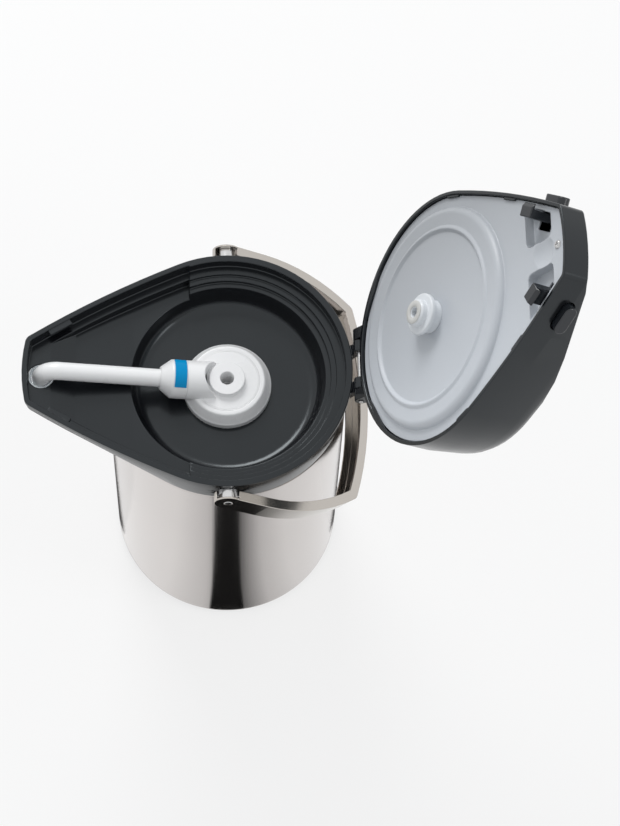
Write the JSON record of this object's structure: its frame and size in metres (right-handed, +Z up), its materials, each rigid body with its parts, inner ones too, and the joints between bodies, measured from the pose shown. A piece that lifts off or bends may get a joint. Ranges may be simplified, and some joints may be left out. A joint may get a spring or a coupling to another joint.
{
  "type": "vacuum jug",
  "caption": "Pump vacuum jug with a steel body, a hinged pump lid with latches, a lift-out stopper with a dispensing pipe, and a swinging bail handle.",
  "frame": {"origin": "on the body's axis, at the face of the foot ring, which is the floor", "axes": "+Z up along the body's axis, -Y toward the spout, +Y toward the lid's hinge, X along the hinge and the bail's pivots"},
  "size_m": [0.1764, 0.3404, 0.4439],
  "materials": {
    "steel": "polished stainless steel",
    "bail_steel": "polished stainless steel sheet",
    "plain_steel": "plain steel",
    "liner_steel": "satin stainless steel",
    "dark_plastic": "glossy charcoal plastic with a little grain",
    "base_plastic": "matte black plastic",
    "white_plastic": "smooth white plastic",
    "frosted_plastic": "frosted pale blue-grey plastic",
    "clear_plastic": "milky translucent plastic",
    "blue_plastic": "glossy blue plastic",
    "black_rubber": "matte black rubber",
    "pale_rubber": "pale silicone rubber"
  },
  "bodies": {
    "jug": {"foot_ring": "black_rubber", "base_ring": "base_plastic", "shell_bottom": "plain_steel", "outer_shell": "steel", "shoulder": "plain_steel", "inner_liner": "liner_steel", "mouth_gasket": "pale_rubber", "collar": "dark_plastic", "outlet_sleeve": "clear_plastic", "bail_studs": "plain_steel", "hinge_pin": "plain_steel"},
    "bail": {"bail": "bail_steel"},
    "stopper": {"stopper_cap": "white_plastic", "stopper_plug": "white_plastic", "stopper_gasket": "pale_rubber", "pipe_nut": "white_plastic", "nut_clip": "blue_plastic", "dispensing_pipe": "white_plastic", "straw": "white_plastic"},
    "lid": {"lid_shell": "dark_plastic", "inner_cover": "frosted_plastic", "cover_screw": "plain_steel", "air_nozzle": "white_plastic", "nozzle_seal": "pale_rubber", "bellows": "pale_rubber", "bellows_ring": "white_plastic", "pump_spring": "plain_steel", "latch_spring_left": "plain_steel", "latch_spring_right": "plain_steel"},
    "pump_top": {"push_plate": "dark_plastic", "bellows_plate": "white_plastic", "intake_valve": "pale_rubber"},
    "latch_left": {"latch_left": "dark_plastic"},
    "latch_right": {"latch_right": "dark_plastic"}
  },
  "joints": [
    {"name": "lid_hinge", "type": "hinge", "parent": "jug", "child": "lid", "pos_m": [0, 0.0844, 0.2598], "axis": [-1, 0, 0], "range_deg": [-122, 0]},
    {"name": "bail_swing", "type": "hinge", "parent": "jug", "child": "bail", "pos_m": [0, 0, 0.2465], "axis": [1, 0, 0], "range_deg": [0, 32]},
    {"name": "stopper_lift", "type": "slide", "parent": "jug", "child": "stopper", "axis": [0, 0, 1], "range_m": [0, 0.23]},
    {"name": "pump_press", "type": "slide", "parent": "lid", "child": "pump_top", "axis": [0, -0.848, 0.5299], "range_m": [0, 0.022], "stiffness_N_per_m": 350, "springref_m": -0.008, "deforming": ["pump_spring", "bellows"]},
    {"name": "latch_left_press", "type": "slide", "parent": "lid", "child": "latch_left", "axis": [0.8637, -0.2671, -0.4274], "range_m": [0, 0.004], "stiffness_N_per_m": 800, "springref_m": -0.002, "deforming": ["latch_spring_left"]},
    {"name": "latch_right_press", "type": "slide", "parent": "lid", "child": "latch_right", "axis": [-0.8637, -0.2671, -0.4274], "range_m": [0, 0.004], "stiffness_N_per_m": 800, "springref_m": -0.002, "deforming": ["latch_spring_right"]}
  ]
}
